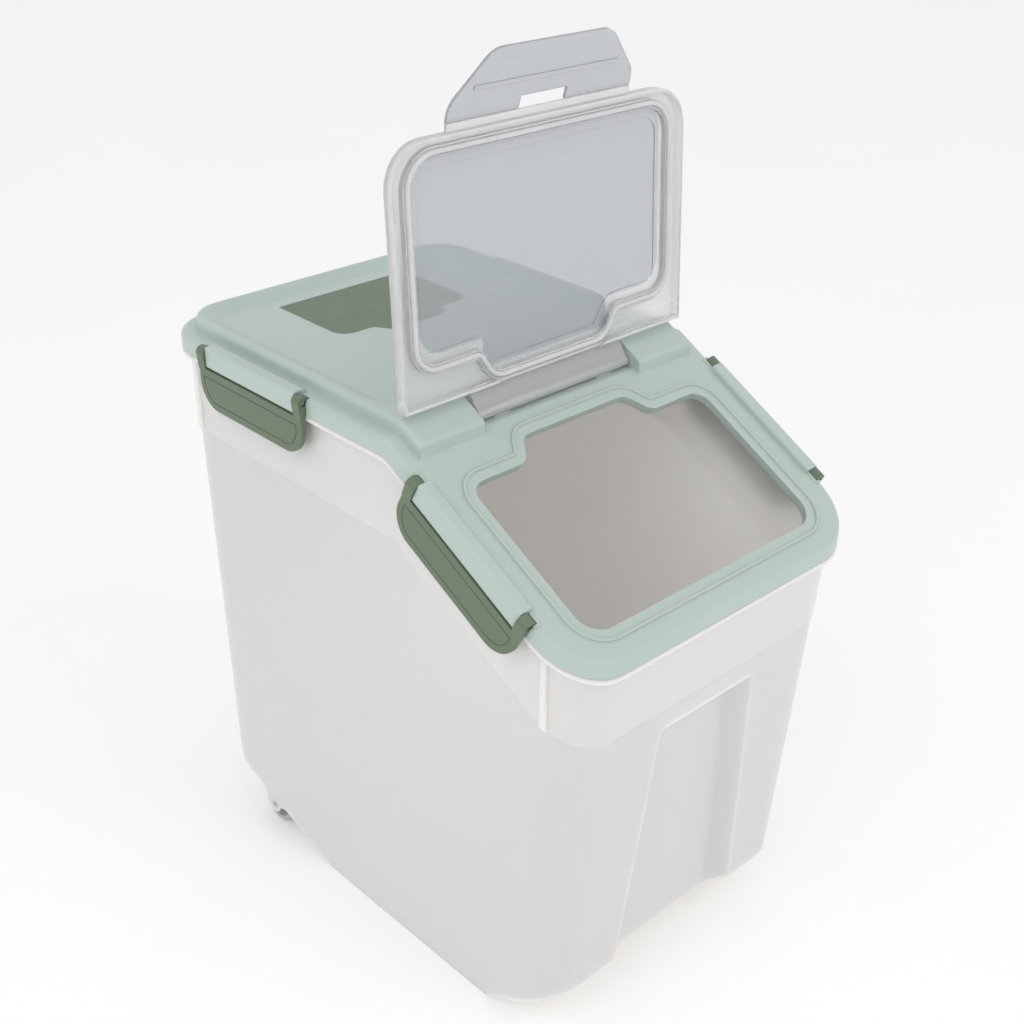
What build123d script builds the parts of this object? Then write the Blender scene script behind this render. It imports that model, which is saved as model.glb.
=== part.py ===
from build123d import *

import os
from math import atan, cos, hypot, radians, sin, tan

# Pet food bin: tapered tub with a sloping front lid, a clear flap over the scoop opening,
# four side latches, a desiccant pocket and two rear wheels.
# Millimetres. X is right seen from the front, Y points to the back, Z up; the floor is Z = 0.

# ---- driving sizes ---------------------------------------------------------------------
LID_WIDTH = 280.0
LID_DEPTH = 430.0
LID_CORNER = 40.0
RIM_HEIGHT = 405.0            # top of the tub's flange on the flat rear part
SLOPE = 28.4                  # fall of the front part of the lid, degrees
CREASE_BACK = 173.0           # front edge of the lid to the crease
LIFT_GAP = 0.25               # lid skirt above the flange

# tub
WALL = 2.4
SIDE_OVERHANG = 6.5           # flange beyond the wall
SIDE_TAPER = 5.0              # each side wall comes in by this much from rim to floor
BASE_FRONT_SETBACK = 27.0     # front wall at the floor, behind the lid's front
BASE_REAR_SETBACK = 20.6
FLANGE = 3.6
WALL_ABOVE_FLANGE = 4.0
FRONT_CUT_LENGTH = 61.0       # sloped underside at the front
FRONT_CUT_HEIGHT = 35.4
BASE_FLAT = 180.0             # flat that stands on the floor, front to back
REAR_CUT_ANGLE = 18.3
RECESS_TOP = 237.0
RECESS_HALF_TOP = 47.0
RECESS_HALF_BASE = 66.0
RECESS_DEPTH = 14.0
RECESS_SIDE = 12.0            # how far a side of the recess slants in
RECESS_RADIUS = 7.0
STEP_DROP = 62.0              # the thicker band under the rim
STEP_OUT = 0.7
STOP_RIB_LENGTH = 60.0
STOP_RIB_WIDTH = 3.6
STOP_RIB_DEPTH = 2.6
STOP_RIB_FRONT = 34.0         # ribs behind the lid's front edge
STOP_RIB_REAR = 394.0
STOP_RIB_NOSE = 4.5           # bevel at the foot of each rib

# wheels
WHEEL_RADIUS = 17.0
WHEEL_WIDTH = 14.0
WHEEL_BACK = 345.0            # axle behind the lid's front edge
WHEEL_FLOOR_GAP = 0.5
WHEEL_TREAD_EDGE = 1.2        # bevel of the tread, radial and along the axle
WHEEL_RIM = 4.0
WHEEL_RIM_INSET = 0.8         # rim behind the hub's faces
WHEEL_WEB = 3.0
HUB_RADIUS = 5.0
WELL_GAP = 1.5                # round the wheel in its well
WHEEL_SIDE_GAP = 0.5
AXLE_RADIUS = 2.0
AXLE_IN = 0.8                 # axle beyond the inner cheek
AXLE_OUT = 0.6                # and beyond the outer cheek
CHEEK = 2.6
CHEEK_RADIUS = 7.0
CHEEK_FRONT = 17.0            # cheek's root in front of the axle
CHEEK_BEHIND = 14.0
RUN_FIT = 0.06                # radial, shaft in hole

# lid
SKIRT = 12.0                  # flange top above the rim
PLATEAU = 21.5                # raised top above the rim
LID_WALL = 2.4
EDGE_ROUND = 4.0
PLATEAU_INSET = 13.0
PLATEAU_REAR_INSET = 8.0
PLATEAU_CORNER = 30.0
BLOCK_FRONT = 152.8           # front faces of the hinge blocks, behind the lid's front
POCKET_HALF = 73.0
DISH_DEPTH = 6.0
DISH_INSET = 5.0
DISH_BEVEL = 12.0
DISH_FRONT = 189.0
SPIGOT = 2.2
SPIGOT_DEPTH = 8.0
SPIGOT_GAP = 4.9              # spigot inside the tub wall's outer face
LID_SEAL_WIDTH = 4.8
LID_SEAL_GAP = 0.3

# scoop opening, on the slope
OPEN_HALF = 110.0
OPEN_FRONT = 21.0
OPEN_TO_HINGE = 25.8          # rear edge to the flap's pivot
OPEN_NECK = 18.6              # length of the narrow rear part
OPEN_NECK_WIDE = 60.0
OPEN_NECK_NARROW = 48.0
OPEN_FRONT_RADIUS = 17.0
OPEN_BACK_RADIUS = 12.0
OPEN_NECK_RADIUS = 11.0
OPEN_LIP = 2.4
OPEN_LIP_DEPTH = 6.0
BEAD_OFFSET = 9.0
BEAD_WIDTH = 2.0
BEAD_HEIGHT = 1.5

# flap
HINGE_BACK = 165.5            # flap pivot behind the lid's front
HINGE_HEIGHT = 9.5            # flap pivot above the flat rim
FLAP_OPEN = 86.5              # leaning angle of the open flap, from +Y
FLAP_HALF = 127.5
FLAP_SETBACK = 7.4            # far edge behind the foot of the slope
FLAP_CORNER = 28.0
FLAP_EAR = 16.5               # pivot to the lower edge of the ears
FLAP_FACE = 7.0               # outer face from the pivot
FLAP_PLATE = 2.2
FLAP_LIP_DEPTH = 8.0
FLAP_LIP = 2.2
FLAP_ARM_HALF = 70.0
BARREL_RADIUS = 4.5
ROD_RADIUS = 1.5
ROD_GRIP = 8.0                # rod length inside each block
ROD_END_GAP = 0.5
ROD_BOSS = 3.0                # wall round the rod's sockets
TROUGH_FRONT = 12.0           # trough in front of the pivot
TROUGH_GAP = 1.0              # trough round the barrel
STEP_INSET = 5.0
STEP_DEPTH = 0.8
CHANNEL_INNER = 1.6
CHANNEL_OUTER = 8.2
CHANNEL_WALL = 1.2
CHANNEL_DEPTH = 3.6
FLAP_SEAL_INNER = 3.1
FLAP_SEAL_OUTER = 6.7
FLAP_SEAL_HEIGHT = 5.7
CRADLE_X = 48.0
CRADLE_WIDTH = 14.0
CRADLE_FRONT = 1.8            # the arm swings past in front of it
CRADLE_BEHIND = 5.0

# pull tongue at the far edge of the flap
TONGUE_BEYOND = 5.8           # bend line beyond the flap's far edge
TONGUE_PIVOT_FACE = 5.9
TONGUE_REST = 18.5
TONGUE_HALF = 79.0
TONGUE_TIP_HALF = 50.0
TONGUE_LENGTH = 42.0
TONGUE_SQUARE = 10.0          # straight part of its sides
TONGUE_PLATE = 2.0
TONGUE_GRIP_AT = 19.0
TONGUE_GRIP = 0.8
TONGUE_GRIP_LENGTH = 124.0
TONGUE_GRIP_WIDTH = 3.0
TONGUE_SIDE_RADIUS = 16.0
TONGUE_TIP_RADIUS = 18.0
SLOT_HALF = 20.0
SLOT_LENGTH = 7.5
KNUCKLE = 1.1

# latches
LATCH_LENGTH = 120.0
LATCH_DROP = 31.0
LATCH_TOP = 1.5               # plate top below the rim line
LATCH_OUT = 0.8               # plate inner face outside the flange
LATCH_PLATE = 3.4
LATCH_CORNER = 20.0
LATCH_EDGE_ROUND = 1.0
LATCH_LINE_IN = 5.5           # engraved line inside the plate's edge
LATCH_LINE_WIDTH = 1.0
LATCH_LINE_DEPTH = 0.5
LATCH_EAR = 8.0
EAR_RADIUS = 4.8
PEG_RADIUS = 2.2
PEG_OUT = 1.0                 # pivot outside the flange edge
PEG_UP = 9.0                  # pivot above the rim
PEG_LENGTH = 6.0
BAR_TOP = 15.0
BAR_IN = 7.0
BAR_OUT = 3.6
BAR_ROUND = 2.2
SIDE_GAP = 0.3
NOTCH_WALL = 1.8
LATCH_REAR_BACK = 313.5       # middle of the rear latches, behind the lid's front
LATCH_FRONT_RUN = 110.0       # middle of the front latches, up the slope from its foot

# desiccant pocket
COVER_HALF = 60.0
COVER_FRONT = 317.0
COVER_REAR = 393.0
COVER_TAB = 13.0
COVER_TAB_HALF = 24.0
COVER_RADIUS = 12.0
COVER_REAR_RADIUS = 3.0
COVER_GROOVE_GAP = 0.8        # round the barrel of its rear edge
COVER_TAB_RADIUS = 6.0
COVER_TAB_SPLAY = 8.0         # the tab is this much wider, each side, at its root
COVER_PLATE = 2.4
COVER_GAP = 0.5
COVER_BELOW = 0.3             # cover face below the dish
COVER_PIN = 0.9
COVER_PIN_LENGTH = 4.0
COVER_PIN_IN = 1.6            # pin axis from the rear edge
LEDGE = 5.0
POCKET_WALL = 6.0
POCKET_WALL_DEPTH = 9.0
TRAY_DEPTH = 24.0
TRAY_WALL = 1.6
TRAY_CORNER = 6.0
TRAY_GAP = 0.8                # under the cover
TRAY_VENTS = 9
VENT_WIDTH = 3.0
VENT_END = 8.0                # floor left at each end of a vent
VENT_MARGIN = 10.0            # outer vents inside the tray's sides

# ---- derived ---------------------------------------------------------------------------
FRONT_Y = -LID_DEPTH / 2
REAR_Y = LID_DEPTH / 2
CREASE_Y = FRONT_Y + CREASE_BACK
FRONT_RIM = RIM_HEIGHT - CREASE_BACK * tan(radians(SLOPE))
BASE_HALF_WIDTH = LID_WIDTH / 2 - SIDE_OVERHANG - SIDE_TAPER
FAR = 400.0                   # beyond every face, for cutting shapes
WHEEL_Y = FRONT_Y + WHEEL_BACK
WHEEL_Z = WHEEL_RADIUS + WHEEL_FLOOR_GAP
BASE_REAR_Y = FRONT_Y + BASE_FRONT_SETBACK + FRONT_CUT_LENGTH + BASE_FLAT
HINGE_Y = FRONT_Y + HINGE_BACK
HINGE_Z = RIM_HEIGHT + HINGE_HEIGHT
POCKET_REAR_Y = HINGE_Y + FLAP_FACE + 1.0
DISH_Z = RIM_HEIGHT + PLATEAU - DISH_DEPTH
COVER_Z = DISH_Z - COVER_BELOW
SLOPE_PLANE = Plane(
    origin=(0, FRONT_Y, FRONT_RIM + SKIRT),
    x_dir=(1, 0, 0),
    z_dir=(0, -sin(radians(SLOPE)), cos(radians(SLOPE))),
)
# the pivot of the flap, measured up the slope and above its surface
HINGE_RUN = HINGE_BACK * cos(radians(SLOPE)) + (HINGE_Z - FRONT_RIM - SKIRT) * sin(radians(SLOPE))
OPEN_BACK = HINGE_RUN - OPEN_TO_HINGE
OPEN_SHOULDER = OPEN_BACK - OPEN_NECK
FLAP_LENGTH = HINGE_RUN - FLAP_SETBACK
TONGUE_PIVOT = FLAP_LENGTH + TONGUE_BEYOND


def rim_z(y):
    """Height of the rim line at y: flat behind the crease, falling in front of it."""
    return RIM_HEIGHT - max(0.0, CREASE_Y - y) * tan(radians(SLOPE))


def side_prism(points):
    """A closed outline in Y and Z, carried right across the bin."""
    return extrude(Plane.YZ * Polygon(*points, align=None), FAR, both=True)


def band(low, high, y_from=-FAR, y_to=FAR):
    """What lies between two heights above the rim line."""
    ys = [y_from] + [CREASE_Y] * (y_from < CREASE_Y < y_to) + [y_to]
    lower = [(y, rim_z(y) + low) for y in ys]
    upper = [(y, rim_z(y) + high) for y in reversed(ys)]
    return side_prism(lower + upper)


def plan(half_width, y_front, y_rear, corner):
    """A tall block with a rounded rectangle as its plan."""
    outline = RectangleRounded(2 * half_width, y_rear - y_front, corner)
    return extrude(Pos(0, (y_front + y_rear) / 2, -50) * outline, 700)


def lid_plan(inset):
    return plan(LID_WIDTH / 2 - inset, FRONT_Y + inset, REAR_Y - inset, LID_CORNER - inset)


def box(x0, x1, y0, y1, z0, z1):
    return Pos((x0 + x1) / 2, (y0 + y1) / 2, (z0 + z1) / 2) * Box(x1 - x0, y1 - y0, z1 - z0)


def slab_x(points, x0, x1):
    """An outline in Y and Z, from x0 to x1."""
    face = Plane.YZ * Polygon(*points, align=None)
    return extrude(Pos(x0, 0, 0) * face, x1 - x0, dir=(1, 0, 0))


def rod_x(radius, x0, x1, y, z):
    """A round bar parallel to X."""
    bar = Rot(0, 90, 0) * Cylinder(radius, x1 - x0)
    return Pos((x0 + x1) / 2, y, z) * bar


# ---- tub -------------------------------------------------------------------------------
def front_wall(z):
    slope = (BASE_FRONT_SETBACK - SIDE_OVERHANG) / FRONT_RIM
    return FRONT_Y + BASE_FRONT_SETBACK - slope * z


def rear_wall(z):
    slope = (BASE_REAR_SETBACK - SIDE_OVERHANG) / RIM_HEIGHT
    return REAR_Y - BASE_REAR_SETBACK + slope * z


def side_wall(z):
    return BASE_HALF_WIDTH + SIDE_TAPER * z / RIM_HEIGHT


def taper(inset):
    """The tapered block with rounded corners, inset from the outer wall."""
    low, high = -20.0, RIM_HEIGHT + 40.0
    ends = ((low, high), (high, low))
    side = [(front_wall(z) + inset, z) for z in ends[0]] + [(rear_wall(z) - inset, z) for z in ends[1]]
    front = [(side_wall(z) - inset, z) for z in ends[0]] + [(inset - side_wall(z), z) for z in ends[1]]
    block = slab_x(side, -FAR, FAR) & extrude(Plane.XZ * Polygon(*front, align=None), FAR, both=True)
    corners = [e for e in block.edges() if e.length > RIM_HEIGHT]
    corners = [e for e in corners if abs(e.center().X) > LID_WIDTH / 4 and abs(e.center().Y) > LID_DEPTH / 4]
    return fillet(corners, LID_CORNER - SIDE_OVERHANG - inset)


def tub_side(lift, inset=0.0):
    """Side view of the tub: flat base, sloped undersides and the rim line raised by lift."""
    front_slope = FRONT_CUT_HEIGHT / FRONT_CUT_LENGTH
    rear_slope = tan(radians(REAR_CUT_ANGLE))
    front_foot = FRONT_Y + BASE_FRONT_SETBACK + FRONT_CUT_LENGTH + inset * tan(atan(front_slope) / 2)
    rear_foot = BASE_REAR_Y - inset * tan(radians(REAR_CUT_ANGLE) / 2)
    front_end = FRONT_Y - 60
    points = [
        (front_foot, inset),
        (rear_foot, inset),
        (FAR, inset + (FAR - rear_foot) * rear_slope),
        (FAR, RIM_HEIGHT + lift),
        (CREASE_Y, RIM_HEIGHT + lift),
        (front_end, rim_z(front_end) + lift),
        (front_end, inset + (front_foot - front_end) * front_slope),
    ]
    return slab_x(points, -FAR, FAR)


def front_recess(grow):
    """The tapered recess in the front wall, open at the base."""
    sections = []
    for z in (-20.0, RECESS_TOP + grow):
        half = RECESS_HALF_TOP + (RECESS_HALF_BASE - RECESS_HALF_TOP) * (1 - z / RECESS_TOP)
        ahead = 10.0
        y = front_wall(z)
        wide = half + ahead * RECESS_SIDE / RECESS_DEPTH
        outline = Polygon(
            (-wide, y - ahead),
            (wide, y - ahead),
            (half - RECESS_SIDE, y + RECESS_DEPTH),
            (-half + RECESS_SIDE, y + RECESS_DEPTH),
            align=None,
        )
        outline = offset(outline, grow, kind=Kind.INTERSECTION) if grow else outline
        back = outline.vertices().sort_by(Axis.Y)[-2:]
        sections.append(Pos(0, 0, z) * fillet(back, RECESS_RADIUS - grow))
    return loft(sections, ruled=True)


def wheel_x():
    """Outer and inner face of the right wheel."""
    outer = BASE_HALF_WIDTH - CHEEK - WHEEL_SIDE_GAP
    return outer - WHEEL_WIDTH, outer


def wheel_well(grow):
    inner, outer = wheel_x()
    reach = WHEEL_SIDE_GAP + grow
    return rod_x(WHEEL_RADIUS + WELL_GAP + grow, inner - reach, outer + reach, WHEEL_Y, WHEEL_Z)


def cheek(x0, x1):
    """One fork cheek for the axle, hanging from the sloped underside."""
    def under(y):
        return (y - BASE_REAR_Y) * tan(radians(REAR_CUT_ANGLE))

    y0, y1 = WHEEL_Y - CHEEK_FRONT, WHEEL_Y + CHEEK_BEHIND
    points = [(y0, under(y0) + 1.0), (y1, under(y1) + 1.0), (WHEEL_Y + CHEEK_RADIUS, WHEEL_Z)]
    points += [(WHEEL_Y - CHEEK_RADIUS, WHEEL_Z)]
    plate = slab_x(points, x0, x1)
    plate += rod_x(CHEEK_RADIUS, x0, x1, WHEEL_Y, WHEEL_Z)
    return plate - rod_x(AXLE_RADIUS + RUN_FIT, x0 - 1, x1 + 1, WHEEL_Y, WHEEL_Z)


def stop_rib(y):
    """A short rib under the flange that keeps stacked tubs apart."""
    top = rim_z(y) - FLANGE + 1.0
    low = top - STOP_RIB_LENGTH
    half = STOP_RIB_WIDTH / 2
    outer = side_wall(top) + STOP_RIB_DEPTH
    inner = side_wall(low) - WALL / 2
    rib = box(inner, outer, y - half, y + half, low, top)
    cut = Pos(outer, y, low) * Rot(0, 45, 0) * Box(STOP_RIB_NOSE, 2 * STOP_RIB_WIDTH, STOP_RIB_NOSE)
    return rib - cut


def bin_body():
    outer = taper(0) & tub_side(WALL_ABOVE_FLANGE)
    outer -= front_recess(0)
    outer += taper(-STEP_OUT) & band(-STEP_DROP, -FLANGE / 2)
    hollow = taper(WALL) & tub_side(60.0, WALL)
    hollow -= front_recess(WALL)
    inner, outer_x = wheel_x()
    for side in (0, 1):
        well = wheel_well(WALL)
        hollow -= mirror(well, Plane.YZ) if side else well
    flange = (lid_plan(0) & band(-FLANGE, 0)) - taper(WALL)
    body = outer - hollow + flange
    fork = cheek(outer_x + WHEEL_SIDE_GAP, BASE_HALF_WIDTH)
    fork += cheek(inner - WHEEL_SIDE_GAP - CHEEK, inner - WHEEL_SIDE_GAP)
    ribs = stop_rib(FRONT_Y + STOP_RIB_FRONT) + stop_rib(FRONT_Y + STOP_RIB_REAR)
    for part in (fork, ribs):
        body += part
        body += mirror(part, Plane.YZ)
    body -= wheel_well(0)
    body -= mirror(wheel_well(0), Plane.YZ)
    return body


# ---- wheels ----------------------------------------------------------------------------
def wheel():
    """A moulded wheel with a rim, a thin web and a hub, on the right side."""
    inner, outer = wheel_x()
    bore, half, web = AXLE_RADIUS + RUN_FIT, WHEEL_WIDTH / 2, WHEEL_WEB / 2
    rim, face = WHEEL_RADIUS - WHEEL_RIM, half - WHEEL_RIM_INSET
    edge = WHEEL_TREAD_EDGE
    upper = [
        (WHEEL_RADIUS, face - edge), (WHEEL_RADIUS - edge, face), (rim, face), (rim, web),
        (HUB_RADIUS, web), (HUB_RADIUS, half), (bore, half),
    ]
    profile = Polygon(*upper, *[(r, -z) for r, z in reversed(upper)], align=None)
    solid = revolve(Plane.XZ * profile, Axis.Z)
    return Pos((inner + outer) / 2, WHEEL_Y, WHEEL_Z) * Rot(0, 90, 0) * solid


def axle():
    inner, _ = wheel_x()
    inner_end = inner - WHEEL_SIDE_GAP - CHEEK - AXLE_IN
    return rod_x(AXLE_RADIUS, inner_end, BASE_HALF_WIDTH + AXLE_OUT, WHEEL_Y, WHEEL_Z)


# ---- opening outline -------------------------------------------------------------------
def opening(grow):
    """The scoop opening on the slope, grown by a distance: wide in front, necked behind."""
    corners = [
        (OPEN_HALF, OPEN_FRONT),
        (OPEN_HALF, OPEN_SHOULDER),
        (OPEN_NECK_WIDE, OPEN_SHOULDER),
        (OPEN_NECK_NARROW, OPEN_BACK),
    ]
    outline = Polygon(*corners, *[(-x, y) for x, y in reversed(corners)], align=None)
    for x, y, radius in (
        (OPEN_HALF, OPEN_FRONT, OPEN_FRONT_RADIUS),
        (OPEN_HALF, OPEN_SHOULDER, OPEN_BACK_RADIUS),
        (OPEN_NECK_WIDE, OPEN_SHOULDER, OPEN_NECK_RADIUS),
        (OPEN_NECK_NARROW, OPEN_BACK, OPEN_NECK_RADIUS),
    ):
        near = [v for v in outline.vertices() if hypot(abs(v.X) - x, v.Y - y) < 0.5]
        outline = fillet(near, radius)
    return offset(outline, grow) if grow else outline


def on_slope(outline, low, high):
    """An outline on the slope, from one height above its surface to another."""
    return extrude(SLOPE_PLANE.offset(low) * outline, high - low, dir=SLOPE_PLANE.z_dir)


# ---- lid -------------------------------------------------------------------------------
def lid_form(inset):
    """Everything under the lid's skin: flange, raised top with its dish, hinge blocks."""
    top = PLATEAU - inset
    half = LID_WIDTH / 2 - PLATEAU_INSET - inset
    block_y = FRONT_Y + BLOCK_FRONT
    rear_y = REAR_Y - PLATEAU_REAR_INSET - inset
    form = lid_plan(inset) & band(LIFT_GAP - (inset > 0), SKIRT - inset)
    raised = plan(half, block_y - 2 * PLATEAU_CORNER, rear_y, PLATEAU_CORNER)
    raised &= band(LIFT_GAP - (inset > 0), top, y_from=block_y + inset, y_to=REAR_Y)
    form += raised
    form -= dish(inset)
    pocket = box(-POCKET_HALF - inset, POCKET_HALF + inset, block_y - 10, POCKET_REAR_Y + inset, 0, 600)
    return form - (pocket & band(SKIRT - inset, 60))


def rounded(form):
    """Rounds the lid's top edges: the flange all round, the raised top and the blocks' fronts."""
    for level, inset in ((SKIRT, 0.0), (PLATEAU, PLATEAU_INSET)):
        rear = REAR_Y - inset * PLATEAU_REAR_INSET / PLATEAU_INSET
        front = FRONT_Y if level == SKIRT else FRONT_Y + BLOCK_FRONT
        edges = []
        for edge in form.edges():
            mid = edge @ 0.5
            side = LID_WIDTH / 2 - inset - abs(mid.X)
            end = min(rear - mid.Y, mid.Y - front)
            corner = side < LID_CORNER / 2 and end < LID_CORNER / 2 and edge.geom_type != GeomType.LINE
            on_top = abs(mid.Z - rim_z(mid.Y) - level) < 0.3
            if on_top and (side < 0.5 or end < 0.5 or corner):
                edges.append(edge)
        form = fillet(edges, EDGE_ROUND)
    return form


def dish(drop):
    """The shallow dish in the raised top, with sloping sides."""
    sections = []
    half = LID_WIDTH / 2 - PLATEAU_INSET - DISH_INSET
    y0, y1 = FRONT_Y + DISH_FRONT, REAR_Y - PLATEAU_REAR_INSET - DISH_INSET
    for z, in_by in ((DISH_Z - drop, DISH_BEVEL), (DISH_Z + DISH_DEPTH - drop, 0.0)):
        corner = PLATEAU_CORNER - DISH_INSET - in_by / 2
        face = RectangleRounded(2 * (half - in_by), y1 - y0 - 2 * in_by, corner)
        sections.append(Pos(0, (y0 + y1) / 2, z) * face)
    low = loft(sections, ruled=True)
    return low + extrude(sections[1], 20)


def hinge_trough(grow):
    """The trough under the flap's barrel, between the blocks."""
    floor = HINGE_Z - BARREL_RADIUS - TROUGH_GAP
    return box(
        -POCKET_HALF - grow, POCKET_HALF + grow,
        HINGE_Y - TROUGH_FRONT - grow, POCKET_REAR_Y + grow,
        floor - grow, HINGE_Z + 40,
    )


def place_latch(local, name):
    """Carries a latch shape from the right-hand rim edge to its place: front or rear, left or right."""
    if name.startswith("front"):
        run = Location((LID_WIDTH / 2, FRONT_Y, FRONT_RIM), (SLOPE, 0, 0)) * Pos(0, LATCH_FRONT_RUN, 0)
    else:
        run = Location((LID_WIDTH / 2, FRONT_Y + LATCH_REAR_BACK, RIM_HEIGHT))
    placed = run * local
    return mirror(placed, Plane.YZ) if name.endswith("left") else placed


LATCHES = ("front_left", "front_right", "rear_left", "rear_right")


def latch_bar():
    """The lid's hinge bar with its two pegs, at a straight rim edge."""
    half = LATCH_LENGTH / 2 - LATCH_EAR - SIDE_GAP
    profile = Polygon(
        (-BAR_IN, SKIRT - LID_WALL), (-LID_WALL, SKIRT - LID_WALL), (-LID_WALL, LIFT_GAP),
        (BAR_OUT, LIFT_GAP), (BAR_OUT, BAR_TOP), (-BAR_IN, BAR_TOP), align=None,
    )
    top_corners = [v for v in profile.vertices() if v.Y > BAR_TOP - 0.1]
    profile = fillet(top_corners, BAR_ROUND)
    bar = extrude(Plane.XZ * profile, half, both=True)
    peg = Rot(90, 0, 0) * Cylinder(PEG_RADIUS, 2 * (half + PEG_LENGTH))
    return bar + Pos(PEG_OUT, 0, PEG_UP) * peg


def latch_notch(grow):
    """Room for the two ears in the lid's edge."""
    half = LATCH_LENGTH / 2
    deep = PEG_OUT - EAR_RADIUS - SIDE_GAP - grow
    ear = box(deep, 12, half - LATCH_EAR - SIDE_GAP - grow, half + SIDE_GAP + grow, -8, BAR_TOP + 4)
    return ear + mirror(ear, Plane.XZ)


def spigot():
    """The ring that stands inside the tub wall."""
    outer = SIDE_OVERHANG + SPIGOT_GAP
    return (lid_plan(outer) - lid_plan(outer + SPIGOT)) & band(-SPIGOT_DEPTH, SKIRT - LID_WALL / 2)


def cradle(x):
    """A cradle under the flap's barrel."""
    block = box(
        x - CRADLE_WIDTH / 2, x + CRADLE_WIDTH / 2, HINGE_Y - CRADLE_FRONT, HINGE_Y + CRADLE_BEHIND,
        HINGE_Z - BARREL_RADIUS - TROUGH_GAP - LID_WALL / 4, HINGE_Z - BARREL_RADIUS / 2,
    )
    return block - rod_x(BARREL_RADIUS + SIDE_GAP, -FAR, FAR, HINGE_Y, HINGE_Z)


def rod_socket():
    """The boss round the right end of the hinge rod, inside the block."""
    inner, outer = POCKET_HALF - 0.5, POCKET_HALF + ROD_GRIP + LID_WALL
    boss = rod_x(ROD_RADIUS + ROD_BOSS, inner, outer, HINGE_Y, HINGE_Z)
    return boss & band(0, PLATEAU - 1.0)


def scoop_opening(shell):
    """Cuts the opening, with its turned-down lip and the bead round it."""
    shell += on_slope(opening(OPEN_LIP), -OPEN_LIP_DEPTH, 0)
    shell -= on_slope(opening(0), -40, 40)
    bead = opening(BEAD_OFFSET) - opening(BEAD_OFFSET - BEAD_WIDTH)
    return shell + on_slope(bead, -LID_WALL / 2, BEAD_HEIGHT)


def latch_place(shell, name):
    """Adds a latch's bar and pegs to the lid's edge, with the notches for its ears."""
    behind = box(PEG_OUT - 10, -PEG_OUT, -FAR, FAR, LIFT_GAP, SKIRT - 0.5)
    shell += place_latch(latch_notch(NOTCH_WALL) & behind, name) & lid_plan(0)
    shell -= place_latch(latch_notch(0), name)
    return shell + place_latch(latch_bar(), name)


def lid():
    shell = rounded(lid_form(0))
    shell -= lid_form(LID_WALL) - hinge_trough(LID_WALL)
    shell -= hinge_trough(0)
    shell += spigot()
    shell = scoop_opening(shell)
    for x in (-CRADLE_X, CRADLE_X):
        shell += cradle(x)
    shell += rod_socket()
    shell += mirror(rod_socket(), Plane.YZ)
    reach = POCKET_HALF + ROD_GRIP
    shell -= rod_x(ROD_RADIUS + RUN_FIT, -reach, reach, HINGE_Y, HINGE_Z)
    for name in LATCHES:
        shell = latch_place(shell, name)
    # the desiccant pocket: recess for the cover, ledge and way through for the tray
    shell += pocket_frame()
    shell -= cover_recess()
    shell -= tray_hole(COVER_GAP)
    return shell - cover_pins(RUN_FIT)


# ---- desiccant pocket ------------------------------------------------------------------
def cover_outline(grow):
    """Plate outline: straight rear edge, rounded corners and a tab in front."""
    y0, y1, tab = FRONT_Y + COVER_FRONT, FRONT_Y + COVER_REAR, FRONT_Y + COVER_FRONT - COVER_TAB
    tab_tip, tab_root = COVER_TAB_HALF, COVER_TAB_HALF + COVER_TAB_SPLAY
    corners = [(tab_tip, tab), (tab_root, y0), (COVER_HALF, y0), (COVER_HALF, y1)]
    outline = Polygon(*corners, *[(-x, y) for x, y in reversed(corners)], align=None)
    for x, y, radius in ((COVER_HALF, y1, COVER_REAR_RADIUS), (COVER_HALF, y0, COVER_RADIUS),
                         (tab_root, y0, COVER_TAB_RADIUS), (tab_tip, tab, COVER_TAB_RADIUS)):
        near = [v for v in outline.vertices() if hypot(abs(v.X) - x, v.Y - y) < 0.5]
        outline = fillet(near, radius)
    return offset(outline, grow) if grow else outline


def cover_axis():
    return FRONT_Y + COVER_REAR - COVER_PIN_IN, COVER_Z - COVER_PLATE / 2


def cover_pins(grow):
    y, z = cover_axis()
    reach = COVER_HALF + COVER_PIN_LENGTH + (grow > 0)
    return rod_x(COVER_PIN + grow, -reach, reach, y, z)


def cover_recess():
    depth = COVER_PLATE + 0.6
    recess = extrude(Pos(0, 0, COVER_Z - depth) * cover_outline(COVER_GAP), depth + 10, dir=(0, 0, 1))
    y, z = cover_axis()
    reach = COVER_HALF + COVER_GAP
    return recess + rod_x(COVER_PLATE / 2 + COVER_GROOVE_GAP, -reach, reach, y, z)


def pocket_frame():
    """The walls under the dish that hold the cover and the tray."""
    wall = cover_outline(POCKET_WALL)
    return extrude(Pos(0, 0, COVER_Z - POCKET_WALL_DEPTH) * wall, POCKET_WALL_DEPTH, dir=(0, 0, 1))


def tray_hole(grow):
    half = COVER_HALF - LEDGE + grow
    y0, y1 = FRONT_Y + COVER_FRONT + LEDGE - grow, FRONT_Y + COVER_REAR - 2 * LEDGE + grow
    return box(-half, half, y0, y1, COVER_Z - 60, COVER_Z - COVER_PLATE - 0.5)


def desiccant_cover():
    """The dark plate over the pocket, turning on two short pins at its rear edge."""
    y, z = cover_axis()
    plate = extrude(Pos(0, 0, COVER_Z - COVER_PLATE) * cover_outline(0), COVER_PLATE, dir=(0, 0, 1))
    plate &= box(-FAR, FAR, -FAR, y, 0, 600)
    plate += rod_x(COVER_PLATE / 2, -COVER_HALF, COVER_HALF, y, z)
    grip = Pos(0, FRONT_Y + COVER_FRONT - COVER_TAB + 2.5, COVER_Z) * Box(20, 2, 0.8)
    return plate + cover_pins(0) + grip


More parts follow.
